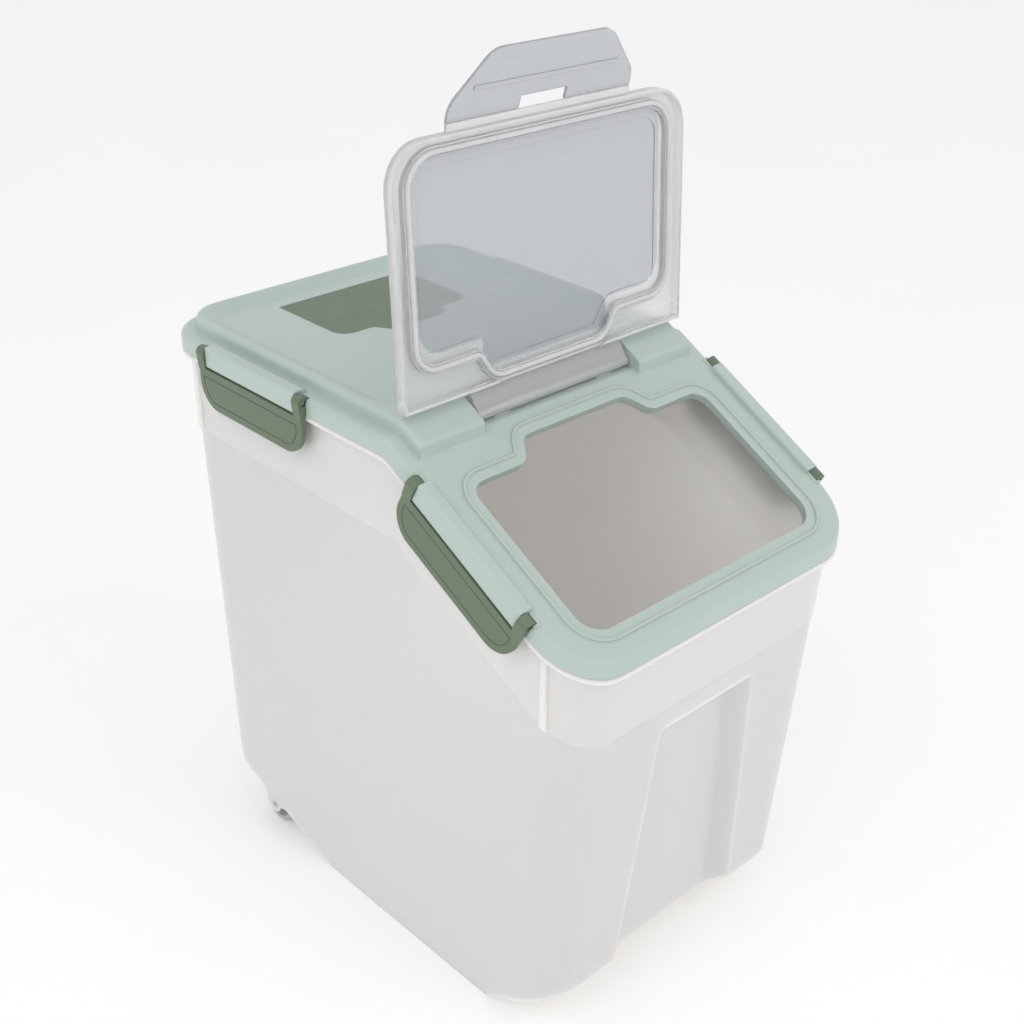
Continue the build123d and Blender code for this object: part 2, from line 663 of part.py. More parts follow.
def desiccant_tray():
    """An open basket with slotted floor that hangs in the pocket on a thin flange."""
    half = COVER_HALF - LEDGE
    y0, y1 = FRONT_Y + COVER_FRONT + LEDGE, FRONT_Y + COVER_REAR - 2 * LEDGE
    top = COVER_Z - COVER_PLATE - TRAY_GAP
    floor = top - TRAY_DEPTH
    tray = box(-half, half, y0, y1, floor, top)
    tray = fillet(tray.edges().filter_by(Axis.Z), TRAY_CORNER)
    wall = TRAY_WALL
    tray -= box(-half + wall, half - wall, y0 + wall, y1 - wall, floor + wall, top + 1)
    pitch = 2 * (half - VENT_MARGIN) / (TRAY_VENTS - 1)
    for i in range(TRAY_VENTS):
        x0 = -half + VENT_MARGIN + i * pitch - VENT_WIDTH / 2
        tray -= box(x0, x0 + VENT_WIDTH, y0 + VENT_END, y1 - VENT_END, floor - 1, floor + wall + 1)
    return tray


# ---- seals -----------------------------------------------------------------------------
def lid_gasket():
    """Soft ring under the lid, over the tub wall's edge."""
    out = SIDE_OVERHANG - LID_SEAL_GAP
    ring = lid_plan(out) - lid_plan(out + LID_SEAL_WIDTH)
    return ring & band(WALL_ABOVE_FLANGE + LID_SEAL_GAP, SKIRT - LID_WALL)


# ---- flap ------------------------------------------------------------------------------
# The flap is drawn shut, in the slope's own plane, then swung open about its pivot.
def flap_rise():
    """Height of the flap's pivot above the slope's surface, square to it."""
    return -HINGE_BACK * sin(radians(SLOPE)) + (HINGE_Z - FRONT_RIM - SKIRT) * cos(radians(SLOPE))


def swing(shape):
    """Turns a shut-flap shape to the open pose."""
    shut = 180.0 + SLOPE
    return Pos(0, HINGE_Y, HINGE_Z) * Rot(FLAP_OPEN - shut, 0, 0) * Pos(0, -HINGE_Y, -HINGE_Z) * shape


def shut_slab(outline, low, high):
    """An outline on the slope between two distances above the flap's pivot."""
    return on_slope(outline, low + flap_rise(), high + flap_rise())


def flap_outline(inset):
    """Flap outline on the slope: wide panel with two round front corners and two ears."""
    far, ear = HINGE_RUN - FLAP_LENGTH + inset, HINGE_RUN - FLAP_EAR - inset
    half = FLAP_HALF - inset
    outline = Polygon((-half, far), (half, far), (half, ear), (-half, ear), align=None)
    return fillet(outline.vertices().sort_by(Axis.Y)[:2], FLAP_CORNER - inset)


def flap_arm():
    """The middle of the flap that reaches down to the pivot, ending in a round barrel."""
    profile = Polygon((-0.5, 4.4), (FLAP_EAR, FLAP_FACE), (FLAP_EAR + 9, FLAP_FACE),
                      (FLAP_EAR + 9, FLAP_FACE - FLAP_PLATE), (FLAP_EAR - 1, FLAP_FACE - FLAP_PLATE),
                      (3.5, -2.6), align=None)
    frame = Plane(
        origin=(0, HINGE_Y, HINGE_Z),
        x_dir=(0, -cos(radians(SLOPE)), -sin(radians(SLOPE))),
        z_dir=(-1, 0, 0),
    )
    arm = extrude(frame * profile, FLAP_ARM_HALF, both=True)
    arm += rod_x(BARREL_RADIUS, -FLAP_ARM_HALF, FLAP_ARM_HALF, HINGE_Y, HINGE_Z)
    return arm - rod_x(ROD_RADIUS + RUN_FIT, -FAR, FAR, HINGE_Y, HINGE_Z)


def flap():
    """The clear scoop flap: plate, down-turned lip, seal channel and barrel."""
    face, under = FLAP_FACE, FLAP_FACE - FLAP_PLATE
    panel = shut_slab(flap_outline(0), face - FLAP_LIP_DEPTH, face)
    panel -= shut_slab(flap_outline(FLAP_LIP), face - FLAP_LIP_DEPTH - 1, under)
    for line in (CHANNEL_INNER, CHANNEL_OUTER - CHANNEL_WALL):
        wall = opening(line + CHANNEL_WALL) - opening(line)
        panel += shut_slab(wall, under - CHANNEL_DEPTH, under + 0.5)
    panel -= shut_slab(opening(-STEP_INSET), under - 1, under + STEP_DEPTH)
    # relief for the bead round the opening
    bead_top = BEAD_HEIGHT + 1.5 * SIDE_GAP - flap_rise()
    panel -= shut_slab(opening(BEAD_OFFSET + 1.5 * SIDE_GAP), face - 2 * FLAP_LIP_DEPTH, bead_top)
    panel += flap_arm()
    # ledge that carries the tongue's bend
    ledge_from, ledge_to = HINGE_RUN - FLAP_LENGTH, HINGE_RUN - TONGUE_PIVOT + KNUCKLE + 0.3
    ledge = Polygon((-TONGUE_HALF, ledge_to), (TONGUE_HALF, ledge_to), (TONGUE_HALF, ledge_from + 1),
                    (-TONGUE_HALF, ledge_from + 1), align=None)
    panel += shut_slab(ledge, TONGUE_PIVOT_FACE - KNUCKLE, TONGUE_PIVOT_FACE + KNUCKLE)
    return swing(panel)


def flap_gasket():
    ring = opening(FLAP_SEAL_OUTER) - opening(FLAP_SEAL_INNER)
    top = FLAP_FACE - FLAP_PLATE
    return swing(shut_slab(ring, top - FLAP_SEAL_HEIGHT, top))


def tongue_axis():
    """The bend line of the tongue, in Y and Z at the open pose."""
    a = radians(FLAP_OPEN)
    y = HINGE_Y + TONGUE_PIVOT * cos(a) + TONGUE_PIVOT_FACE * sin(a)
    z = HINGE_Z + TONGUE_PIVOT * sin(a) - TONGUE_PIVOT_FACE * cos(a)
    return y, z


def flap_tongue():
    """The pull tongue: a tapered plate with a grip ridge, split at its bend by a slot."""
    y, z = tongue_axis()
    a = radians(FLAP_OPEN + TONGUE_REST)
    frame = Plane(origin=(0, y, z), x_dir=(1, 0, 0), z_dir=(0, -sin(a), cos(a)))
    long, half, tip = TONGUE_LENGTH, TONGUE_HALF, TONGUE_TIP_HALF
    outline = Polygon((-half, 0), (half, 0), (half, TONGUE_SQUARE), (tip, long), (-tip, long),
                      (-half, TONGUE_SQUARE), align=None)
    for x, at, radius in ((half, TONGUE_SQUARE, TONGUE_SIDE_RADIUS), (tip, long, TONGUE_TIP_RADIUS)):
        near = [v for v in outline.vertices() if hypot(abs(v.X) - x, v.Y - at) < 0.5]
        outline = fillet(near, radius)
    slot = Pos(0, SLOT_LENGTH / 2 - 1) * Rectangle(2 * SLOT_HALF, SLOT_LENGTH + 2)
    plate = extrude(frame * (outline - slot), -TONGUE_PLATE / 2, both=True)
    ridge = RectangleRounded(TONGUE_GRIP_LENGTH, TONGUE_GRIP_WIDTH, TONGUE_GRIP_WIDTH / 2 - 0.1)
    grip = Pos(0, TONGUE_GRIP_AT) * ridge
    plate += extrude(frame * grip, TONGUE_PLATE / 2 + TONGUE_GRIP)
    knuckle = rod_x(KNUCKLE, -half, half, y, z) - rod_x(2 * KNUCKLE, -SLOT_HALF, SLOT_HALF, y, z)
    return plate + knuckle


# ---- latches ---------------------------------------------------------------------------
def latch_plate(inset):
    """Outline of the plate, in Y and Z, with two round lower corners."""
    half = LATCH_LENGTH / 2 - inset
    low, high = -LATCH_DROP + inset, -LATCH_TOP - inset
    plate = Plane.YZ * Polygon((-half, low), (half, low), (half, high), (-half, high), align=None)
    return fillet(plate.vertices().sort_by(Axis.Z)[:2], LATCH_CORNER - inset)


def latch_ear():
    """The ear at the plate's rear end, round the peg."""
    half = LATCH_LENGTH / 2
    face = LATCH_OUT + LATCH_PLATE
    low = -LATCH_TOP - 2
    arm = Plane.XZ * Polygon((LATCH_OUT, low), (face, low), (PEG_OUT + EAR_RADIUS, PEG_UP),
                             (PEG_OUT - 2.5, PEG_UP), (LATCH_OUT, 1.5), align=None)
    arm += Plane.XZ * (Pos(PEG_OUT, PEG_UP) * Circle(EAR_RADIUS))
    return Pos(0, half, 0) * extrude(arm, LATCH_EAR, dir=(0, -1, 0))


def latch():
    """One latch at the right-hand rim edge: plate with an engraved line, two ears."""
    face = LATCH_OUT + LATCH_PLATE
    body = Pos(LATCH_OUT, 0, 0) * extrude(latch_plate(0), LATCH_PLATE, dir=(1, 0, 0))
    edges = body.edges().filter_by(lambda e: abs(e.center().X - face) < 0.01)
    edges = edges.filter_by(lambda e: e.center().Z < -LATCH_TOP - 0.1)
    body = fillet(edges, LATCH_EDGE_ROUND)
    line = latch_plate(LATCH_LINE_IN) - latch_plate(LATCH_LINE_IN + LATCH_LINE_WIDTH)
    body -= Pos(face - LATCH_LINE_DEPTH, 0, 0) * extrude(line, 1, dir=(1, 0, 0))
    body += latch_ear() + mirror(latch_ear(), Plane.XZ)
    hole = Rot(90, 0, 0) * Cylinder(PEG_RADIUS + RUN_FIT, LATCH_LENGTH + 2)
    return body - Pos(PEG_OUT, 0, PEG_UP) * hole


# ---- output ----------------------------------------------------------------------------
def both_sides(shape, name):
    return {name + "_right": shape, name + "_left": mirror(shape, Plane.YZ)}


def build():
    rod_half = POCKET_HALF + ROD_GRIP - ROD_END_GAP
    nodes = {
        "bin_body": bin_body(),
        "lid": lid(),
        "lid_gasket": lid_gasket(),
        "flap": flap(),
        "flap_gasket": flap_gasket(),
        "flap_tongue": flap_tongue(),
        "flap_hinge_rod": rod_x(ROD_RADIUS, -rod_half, rod_half, HINGE_Y, HINGE_Z),
        "desiccant_cover": desiccant_cover(),
        "desiccant_tray": desiccant_tray(),
    }
    for name in LATCHES:
        nodes["latch_" + name] = place_latch(latch(), name)
    nodes.update(both_sides(wheel(), "wheel"))
    nodes.update(both_sides(axle(), "wheel_axle"))
    return nodes


os.makedirs("parts", exist_ok=True)
for node, shape in build().items():
    export_step(shape, f"parts/{node}.step")
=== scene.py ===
"""Looks of a wheeled pet food bin with a sloping lid, a clear flap, four latches and rear wheels.

Lengths are in metres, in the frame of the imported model: X to the right seen from the front, Y to the
back and Z up, with the floor at zero. Pieces that are made here are grids of points worked out with
numpy, either a profile carried along a path or a profile turned about an axis.
"""

from __future__ import annotations

import logging
import math
from dataclasses import dataclass
from enum import Enum

import bpy
import numpy as np
from mathutils import Matrix, Vector


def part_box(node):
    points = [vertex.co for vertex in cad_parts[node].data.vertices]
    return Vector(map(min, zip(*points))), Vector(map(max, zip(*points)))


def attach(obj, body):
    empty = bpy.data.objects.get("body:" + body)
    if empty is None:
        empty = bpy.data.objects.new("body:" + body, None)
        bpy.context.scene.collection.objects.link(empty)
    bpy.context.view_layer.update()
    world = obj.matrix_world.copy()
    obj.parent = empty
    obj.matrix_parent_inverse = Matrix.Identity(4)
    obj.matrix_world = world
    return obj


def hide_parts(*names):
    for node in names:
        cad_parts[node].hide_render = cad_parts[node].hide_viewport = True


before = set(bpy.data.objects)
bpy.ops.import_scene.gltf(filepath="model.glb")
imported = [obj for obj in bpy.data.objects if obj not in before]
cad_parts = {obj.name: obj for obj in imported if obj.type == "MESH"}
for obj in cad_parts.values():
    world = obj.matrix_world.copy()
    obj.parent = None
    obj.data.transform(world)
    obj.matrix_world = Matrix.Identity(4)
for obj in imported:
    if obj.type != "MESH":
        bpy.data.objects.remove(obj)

LOG = logging.getLogger("pet_food_bin")
MM = 0.001
BAR_STEPS = 32

Triple = tuple[float, float, float]


# ---- meshes ----------------------------------------------------------------------------------


class Ends(Enum):
    """How the open ends of a grid of points are finished."""

    JOINED = "joined"
    CAPPED = "capped"


def grid_object(name: str, points: np.ndarray, ends: Ends) -> bpy.types.Object:
    """Makes a closed shell from a grid of points.

    Quad (i, j) joins rows i and i + 1 and columns j and j + 1. Columns always wrap. Rows wrap too
    when the ends are joined, and otherwise the first and last rows are closed by one flat face each.

    Args:
        name: The piece's name.
        points: Array of rows by columns by 3, in metres.
        ends: What happens at the first and last row.

    Returns:
        A smooth-shaded mesh object at the origin.
    """
    rows, cols = points.shape[:2]
    i = np.arange(rows if ends is Ends.JOINED else rows - 1)[:, None]
    j = np.arange(cols)[None, :]
    after_i, after_j = (i + 1) % rows, (j + 1) % cols
    quads = np.stack(
        [i * cols + j, i * cols + after_j, after_i * cols + after_j, after_i * cols + j], axis=-1
    ).reshape(-1, 4)
    faces = quads.tolist()
    if ends is Ends.CAPPED:
        faces.append(list(range(cols - 1, -1, -1)))
        faces.append(list(range((rows - 1) * cols, rows * cols)))
    mesh = bpy.data.meshes.new(name)
    mesh.from_pydata(points.reshape(-1, 3).tolist(), [], faces)
    mesh.polygons.foreach_set("use_smooth", np.array([len(f) == 4 for f in faces]))
    if signed_volume(points.reshape(-1, 3), quads) < 0:
        mesh.flip_normals()
    mesh.update()
    made = bpy.data.objects.new(name, mesh)
    bpy.context.scene.collection.objects.link(made)
    return made


def signed_volume(points: np.ndarray, quads: np.ndarray) -> float:
    """Volume under the quads, positive if they face outwards.

    Each quad gives two tetrahedra with the middle of all points, and a tetrahedron's volume is a
    sixth of the triple product of its edges.

    Args:
        points: Array of points by 3.
        quads: Array of faces by 4 of point numbers.

    Returns:
        The sum in cubic metres.
    """
    corners = points[quads] - points.mean(axis=0)
    a, b, c, d = (corners[:, k] for k in range(4))
    first = np.einsum("ij,ij->i", a, np.cross(b, c))
    second = np.einsum("ij,ij->i", a, np.cross(c, d))
    return float((first + second).sum() / 6)


def turned(
    name: str,
    profile: np.ndarray,
    centre: Vector,
    ends: Ends,
    steps: int,
    ripple: np.ndarray | None = None,
    waves: int = 0,
) -> bpy.types.Object:
    """Turns a profile about a line parallel to X.

    A profile point (along, radius) at angle t lands at (along, radius sin t, radius cos t), and a
    ripple lowers the radius by its depth times a rounded square wave of the angle.

    Args:
        name: The piece's name.
        profile: Array of points by 2: distance along the axis and radius.
        centre: A point on the axis.
        ends: Joined for a loop of a profile, capped for one that stops at a small radius.
        steps: Points round the axis.
        ripple: Depth of the ripple for each profile point, or None.
        waves: Number of ripples round the axis.

    Returns:
        The mesh object.
    """
    angle = np.linspace(0, 2 * np.pi, steps, endpoint=False)[None, :]
    radius = np.repeat(profile[:, 1:2], steps, axis=1)
    if ripple is not None:
        wave = 0.5 + 0.5 * np.tanh(3 * np.sin(waves * angle))
        radius = radius - ripple[:, None] * wave
    along = np.repeat(profile[:, 0:1], steps, axis=1)
    points = np.stack([along, radius * np.sin(angle), radius * np.cos(angle)], axis=-1)
    return grid_object(name, points + np.array(centre), ends)


def bar(name: str, low: Vector, high: Vector, radius: float, bevel: float) -> bpy.types.Object:
    """A round bar parallel to X with bevelled ends, inside the given box.

    Args:
        name: The piece's name.
        low: Lowest corner.
        high: Highest corner.
        radius: The bar's radius.
        bevel: Size of the bevel at each end.

    Returns:
        The mesh object.
    """
    middle = (low + high) / 2
    half = (high.x - low.x) / 2
    profile = np.array([
        (-half, radius - bevel),
        (bevel - half, radius),
        (half - bevel, radius),
        (half, radius - bevel),
    ])
    return turned(name, profile, middle, Ends.CAPPED, BAR_STEPS)


def rounded_profile(corners: np.ndarray, radii: np.ndarray, grow: float, steps: int) -> np.ndarray:
    """A closed outline with rounded corners, grown outwards.

    Each corner becomes an arc about the point that lies the radius from both of its sides. Growing
    adds to the radius of an outer corner and takes from that of an inner one.

    Args:
        corners: Array of points by 2, counterclockwise.
        radii: A radius for each corner.
        grow: How far the outline moves outwards.
        steps: Points on each arc.

    Returns:
        Array of points by 2.
    """
    before = np.roll(corners, 1, axis=0) - corners
    after = np.roll(corners, -1, axis=0) - corners
    before /= np.linalg.norm(before, axis=1, keepdims=True)
    after /= np.linalg.norm(after, axis=1, keepdims=True)
    half = np.arccos(np.clip((before * after).sum(axis=1), -1, 1)) / 2
    outer = np.sign(after[:, 0] * before[:, 1] - after[:, 1] * before[:, 0])
    bisector = (before + after) / np.linalg.norm(before + after, axis=1, keepdims=True)
    centre = corners + bisector * (radii / np.sin(half))[:, None]
    start = (corners + before * (radii / np.tan(half))[:, None] - centre) / radii[:, None]
    stop = (corners + after * (radii / np.tan(half))[:, None] - centre) / radii[:, None]
    sweep = (np.pi - 2 * half)[:, None, None]
    share = np.linspace(0, 1, steps)[None, :, None]
    direction = np.sin((1 - share) * sweep) * start[:, None] + np.sin(share * sweep) * stop[:, None]
    direction /= np.sin(sweep)
    radius = (radii + outer * grow)[:, None, None]
    return (centre[:, None] + radius * direction).reshape(-1, 2)


def evenly(outline: np.ndarray, step: float) -> np.ndarray:
    """Points at even distances round a closed outline.

    Args:
        outline: Array of points by 2.
        step: Wanted distance between points.

    Returns:
        Array of points by 2.
    """
    closed = np.vstack([outline, outline[:1]])
    length = np.concatenate([[0], np.cumsum(np.linalg.norm(np.diff(closed, axis=0), axis=1))])
    at = np.linspace(0, length[-1], int(length[-1] / step), endpoint=False)
    return np.stack([np.interp(at, length, closed[:, k]) for k in (0, 1)], axis=-1)


def outward(outline: np.ndarray) -> np.ndarray:
    """Unit normals of a closed counterclockwise outline, pointing outwards.

    A normal is the line between a point's two neighbours, turned a quarter clockwise.

    Args:
        outline: Array of points by 2.

    Returns:
        Array of points by 2.
    """
    along = np.roll(outline, -1, axis=0) - np.roll(outline, 1, axis=0)
    normal = np.stack([along[:, 1], -along[:, 0]], axis=-1)
    return normal / np.linalg.norm(normal, axis=1, keepdims=True)


# ---- shader groups ---------------------------------------------------------------------------


class Nodes:
    """A short way to place and join shader nodes in one tree."""

    def __init__(self, tree: bpy.types.NodeTree) -> None:
        """Works on one tree.

        Args:
            tree: The material's or the group's node tree.
        """
        self.tree = tree

    def add(
        self, kind: str, links: dict[str, object] | None = None, **settings: object
    ) -> bpy.types.Node:
        """Adds one node.

        Args:
            kind: The node's Blender type.
            links: Input name to a value, or to the socket that feeds it.
            **settings: Node properties.

        Returns:
            The node.
        """
        node = self.tree.nodes.new(kind)
        for key, value in settings.items():
            setattr(node, key, value)
        for key, value in (links or {}).items():
            self.feed(value, node.inputs[int(key)] if key.isdigit() else node.inputs[key])
        return node

    def feed(self, value: object, socket: bpy.types.NodeSocket) -> None:
        """Joins a socket to an input, or sets the input to a value.

        Args:
            value: A value, or the socket that feeds the input.
            socket: The input.
        """
        if isinstance(value, bpy.types.NodeSocket):
            self.tree.links.new(value, socket)
        else:
            socket.default_value = value

    def math(
        self, operation: str, a: object, b: object = 0.0, clamp: bool = False
    ) -> bpy.types.NodeSocket:
        """The result of one sum on two numbers or sockets."""
        inputs = {"0": a, "1": b}
        return self.add("ShaderNodeMath", inputs, operation=operation, use_clamp=clamp).outputs[0]

    def place(self) -> bpy.types.NodeSocket:
        """The object's own coordinates."""
        return self.add("ShaderNodeTexCoord").outputs["Object"]

    def split(self, vector: bpy.types.NodeSocket) -> bpy.types.bpy_prop_collection:
        """The X, Y and Z of a vector."""
        return self.add("ShaderNodeSeparateXYZ", {"0": vector}).outputs

    def noise(self, scale: object, detail: float, rough: float = 0.5) -> bpy.types.NodeSocket:
        """Noise on the object's own coordinates.

        Args:
            scale: Grains in a metre.
            detail: Number of finer layers.
            rough: Weight of each finer layer.

        Returns:
            A number from 0 to 1.
        """
        inputs = {"Vector": self.place(), "Scale": scale, "Detail": detail, "Roughness": rough}
        return self.add("ShaderNodeTexNoise", inputs).outputs["Fac"]

    def spread(
        self, value: object, low: float, high: float, to_low: object = 0.0, to_high: object = 1.0
    ) -> bpy.types.NodeSocket:
        """Carries a number from one span to another, held at its ends.

        Args:
            value: The number.
            low: Start of its span.
            high: End of its span.
            to_low: What the start becomes.
            to_high: What the end becomes.

        Returns:
            The carried number.
        """
        span = {"From Min": low, "From Max": high, "To Min": to_low, "To Max": to_high}
        return self.add("ShaderNodeMapRange", {"Value": value, **span}, clamp=True).outputs["Result"]

    def mix(self, share: object, a: object, b: object) -> bpy.types.NodeSocket:
        """A mix of two colours."""
        node = self.add("ShaderNodeMix", {"0": share, "6": a, "7": b}, data_type="RGBA")
        return node.outputs[2]

    def group(self, tree: bpy.types.NodeTree, **values: object) -> bpy.types.Node:
        """Places a shared group.

        Args:
            tree: The group.
            **values: Its inputs, with underscores in their names read as blanks.

        Returns:
            The node.
        """
        node = self.add("ShaderNodeGroup", None, node_tree=tree)
        for key, value in values.items():
            self.feed(value, node.inputs[key.replace("_", " ")])
        return node

    def relief(
        self,
        height: bpy.types.NodeSocket,
        strength: float,
        depth: float,
        normal: bpy.types.NodeSocket | None = None,
    ) -> bpy.types.NodeSocket:
        """Fine relief on the surface.

        Args:
            height: The relief's height, in units of its depth.
            strength: How much of it shows.
            depth: Its depth in metres.
            normal: The normal that it starts from, or None for the surface's own.

        Returns:
            The new normal.
        """
        inputs = {"Height": height, "Strength": strength, "Distance": depth}
        if normal is not None:
            inputs["Normal"] = normal
        return self.add("ShaderNodeBump", inputs).outputs[0]

    def finish(
        self,
        shader: bpy.types.Node,
        colour: bpy.types.NodeSocket,
        rough: bpy.types.NodeSocket,
        normal: bpy.types.NodeSocket,
    ) -> None:
        """Joins the three things that every finish works out to its shader.

        Args:
            shader: The principled shader.
            colour: Base colour.
            rough: Roughness.
            normal: Normal with its relief.
        """
        self.feed(colour, shader.inputs["Base Color"])
        self.feed(rough, shader.inputs["Roughness"])
        self.feed(normal, shader.inputs["Normal"])


class Group:
    """A shared shader group with named inputs and outputs."""

    def __init__(
        self, name: str, inputs: dict[str, tuple[str, object]], outputs: dict[str, str]
    ) -> None:
        """Makes the group and its sockets.

        Args:
            name: The group's name.
            inputs: Socket name to its kind and usual value.
            outputs: Socket name to its kind.
        """
        self.tree = bpy.data.node_groups.new(name, "ShaderNodeTree")
        face = self.tree.interface
        for key, (kind, value) in inputs.items():
            socket = face.new_socket(name=key, in_out="INPUT", socket_type="NodeSocket" + kind)
            socket.default_value = value
        for key, kind in outputs.items():
            face.new_socket(name=key, in_out="OUTPUT", socket_type="NodeSocket" + kind)
        self.nodes = Nodes(self.tree)
        self.given = self.nodes.add("NodeGroupInput").outputs
        self.result = self.nodes.add("NodeGroupOutput").inputs

    def put(self, **sockets: bpy.types.NodeSocket) -> None:
        """Joins sockets to the group's outputs by their names."""
        for key, socket in sockets.items():
            self.tree.links.new(socket, self.result[key])


def moulded_skin() -> bpy.types.NodeTree:
    """Skin of moulded plastic: a fine spark texture over long slow waves from cooling.

    Returns:
        The group, which puts out a height and a slow variation from 0 to 1.
    """
    group = Group(
        "Moulded skin",
        {
            "Grain size": ("Float", 1400.0),
            "Grain depth": ("Float", 0.3),
            "Wave size": ("Float", 14.0),
            "Wave depth": ("Float", 0.3),
        },
        {"Height": "Float", "Variation": "Float"},
    )
    n = group.nodes
    grain = n.noise(group.given["Grain size"], 2.0, 0.6)
    wave = n.noise(group.given["Wave size"], 3.0, 0.45)
    fine = n.math("MULTIPLY", grain, group.given["Grain depth"])
    slow = n.math("MULTIPLY", wave, group.given["Wave depth"])
    group.put(Height=n.math("ADD", fine, slow), Variation=n.spread(wave, 0.1, 0.9))
    return group.tree


def soft_edges() -> bpy.types.NodeTree:
    """Edges that catch the light as a small radius does.

    Returns:
        The group, which puts out the rounded normal and a mask of the edges; the plastic finishes use the
        mask for a painted highlight.
    """
    outputs = {"Normal": "Vector", "Edge": "Float"}
    group = Group("Soft edges", {"Radius": ("Float", 0.6 * MM)}, outputs)
    n = group.nodes
    rounded = n.add("ShaderNodeBevel", {"Radius": group.given["Radius"]}, samples=4).outputs["Normal"]
    plain = n.add("ShaderNodeNewGeometry").outputs["Normal"]
    pair = {"0": rounded, "1": plain}
    agree = n.add("ShaderNodeVectorMath", pair, operation="DOT_PRODUCT").outputs["Value"]
    group.put(Normal=rounded, Edge=n.spread(agree, 0.97, 0.75))
    return group.tree


def settled_dust() -> bpy.types.NodeTree:
    """A breath of dust on whatever faces up, in soft patches.

    Returns:
        The group, which puts out a mask.
    """
    inputs = {"Amount": ("Float", 0.1), "Patch size": ("Float", 30.0)}
    group = Group("Settled dust", inputs, {"Mask": "Float"})
    n = group.nodes
    facing = n.split(n.add("ShaderNodeNewGeometry").outputs["Normal"])["Z"]
    upward = n.spread(facing, 0.3, 0.95)
    patch = n.spread(n.noise(group.given["Patch size"], 6.0, 0.7), 0.42, 0.72, 0.15)
    settled = n.math("MULTIPLY", upward, patch)
    group.put(Mask=n.math("MULTIPLY", settled, group.given["Amount"], clamp=True))
    return group.tree


def handling() -> bpy.types.NodeTree:
    """Faint smudges and hairline rubs left by hands and cloths.

    Returns:
        The group, which puts out a smudge mask and a mask of thin rubs.
    """
    outputs = {"Smudge": "Float", "Rub": "Float"}
    group = Group("Handling", {"Smudge size": ("Float", 22.0)}, outputs)
    n = group.nodes
    smudge = n.spread(n.noise(group.given["Smudge size"], 2.0, 0.5), 0.3, 0.95)
    stretch = {"Vector": n.place(), "Scale": (18.0, 420.0, 260.0), "Rotation": (0.3, 0.5, 0.2)}
    drawn = n.add("ShaderNodeMapping", stretch).outputs[0]
    thin = n.add("ShaderNodeTexNoise", {"Vector": drawn, "Scale": 1.0, "Detail": 2.0}).outputs["Fac"]
    group.put(Smudge=smudge, Rub=n.spread(thin, 0.66, 0.74))
    return group.tree


@dataclass(frozen=True)
class Effects:
    """The shader groups that every finish draws on."""

    skin: bpy.types.NodeTree
    edges: bpy.types.NodeTree
    dust: bpy.types.NodeTree
    handling: bpy.types.NodeTree

    @classmethod
    def make(cls) -> "Effects":
        """Builds each group once."""
        return cls(moulded_skin(), soft_edges(), settled_dust(), handling())


# ---- finishes --------------------------------------------------------------------------------

DUST = (0.62, 0.60, 0.56)
BLOOM = (0.7, 0.68, 0.64)
# Near-white colours for a painted highlight along the edges of opaque and of clear plastic.
PAINTED_EDGE_HIGHLIGHT = (0.93, 0.94, 0.92)
PAINTED_CLEAR_EDGE_HIGHLIGHT = (0.95, 0.96, 0.97)
RUBBED = (0.98, 0.98, 0.98)


def rgba(colour: Triple) -> tuple[float, float, float, float]:
    """A colour with full cover."""
    return (*colour, 1.0)


def new_material(name: str) -> tuple[bpy.types.Material, Nodes, bpy.types.Node]:
    """An empty node material with its output and principled shader joined.

    Args:
        name: The material's name.

    Returns:
        The material, its nodes and the shader node.
    """
    material = bpy.data.materials.new(name)
    material.use_nodes = True
    material.node_tree.nodes.clear()
    nodes = Nodes(material.node_tree)
    shader = nodes.add("ShaderNodeBsdfPrincipled")
    nodes.add("ShaderNodeOutputMaterial", {"Surface": shader.outputs["BSDF"]})
    return material, nodes, shader


@dataclass(frozen=True)
class Plastic:
    """Opaque moulded plastic with a fine grain, a painted highlight along its edges and a little dust."""

    name: str
    colour: Triple
    deeper: Triple
    roughness: float
    grain: float = 0.25
    painted_edge_highlight: float = 0.25
    edge_radius: float = 0.7 * MM
    dust: float = 0.08
    dust_dulling: float = 0.5
    uneven: float = 0.02
    glow: float = 0.0
    glow_depth: float = 6.0 * MM
    glow_tint: Triple = (1.0, 0.96, 0.92)
    relief: float = 0.25
    relief_depth: float = 0.2 * MM
    refraction: float = 1.49

    def material(self, effects: Effects) -> bpy.types.Material:
        """Builds the material.

        Args:
            effects: The shared groups.

        Returns:
            The material.
        """
        made, n, shader = new_material(self.name)
        skin = n.group(effects.skin, Grain_depth=self.grain)
        edge = n.group(effects.edges, Radius=self.edge_radius)
        dust = n.group(effects.dust, Amount=self.dust)
        hands = n.group(effects.handling)
        body = n.mix(skin.outputs["Variation"], rgba(self.deeper), rgba(self.colour))
        # Painted highlight: the edge mask pales the colour towards near-white along the edges.
        highlight_share = n.math("MULTIPLY", edge.outputs["Edge"], self.painted_edge_highlight)
        lit = n.mix(highlight_share, body, rgba(PAINTED_EDGE_HIGHLIGHT))
        colour = n.mix(dust.outputs["Mask"], lit, rgba(DUST))
        smooth, dull = self.roughness - self.uneven, self.roughness + self.uneven
        rough = n.spread(skin.outputs["Variation"], 0.0, 1.0, smooth, dull)
        rough = n.math("ADD", rough, n.math("MULTIPLY", dust.outputs["Mask"], self.dust_dulling))
        smudge = n.math("MULTIPLY", hands.outputs["Smudge"], self.uneven)
        rough = n.math("SUBTRACT", rough, smudge, clamp=True)
        height, normal = skin.outputs["Height"], edge.outputs["Normal"]
        n.finish(shader, colour, rough, n.relief(height, self.relief, self.relief_depth, normal))
        shader.inputs["IOR"].default_value = self.refraction
        shader.inputs["Subsurface Weight"].default_value = self.glow
        shader.inputs["Subsurface Scale"].default_value = self.glow_depth
        shader.inputs["Subsurface Radius"].default_value = self.glow_tint
        return made


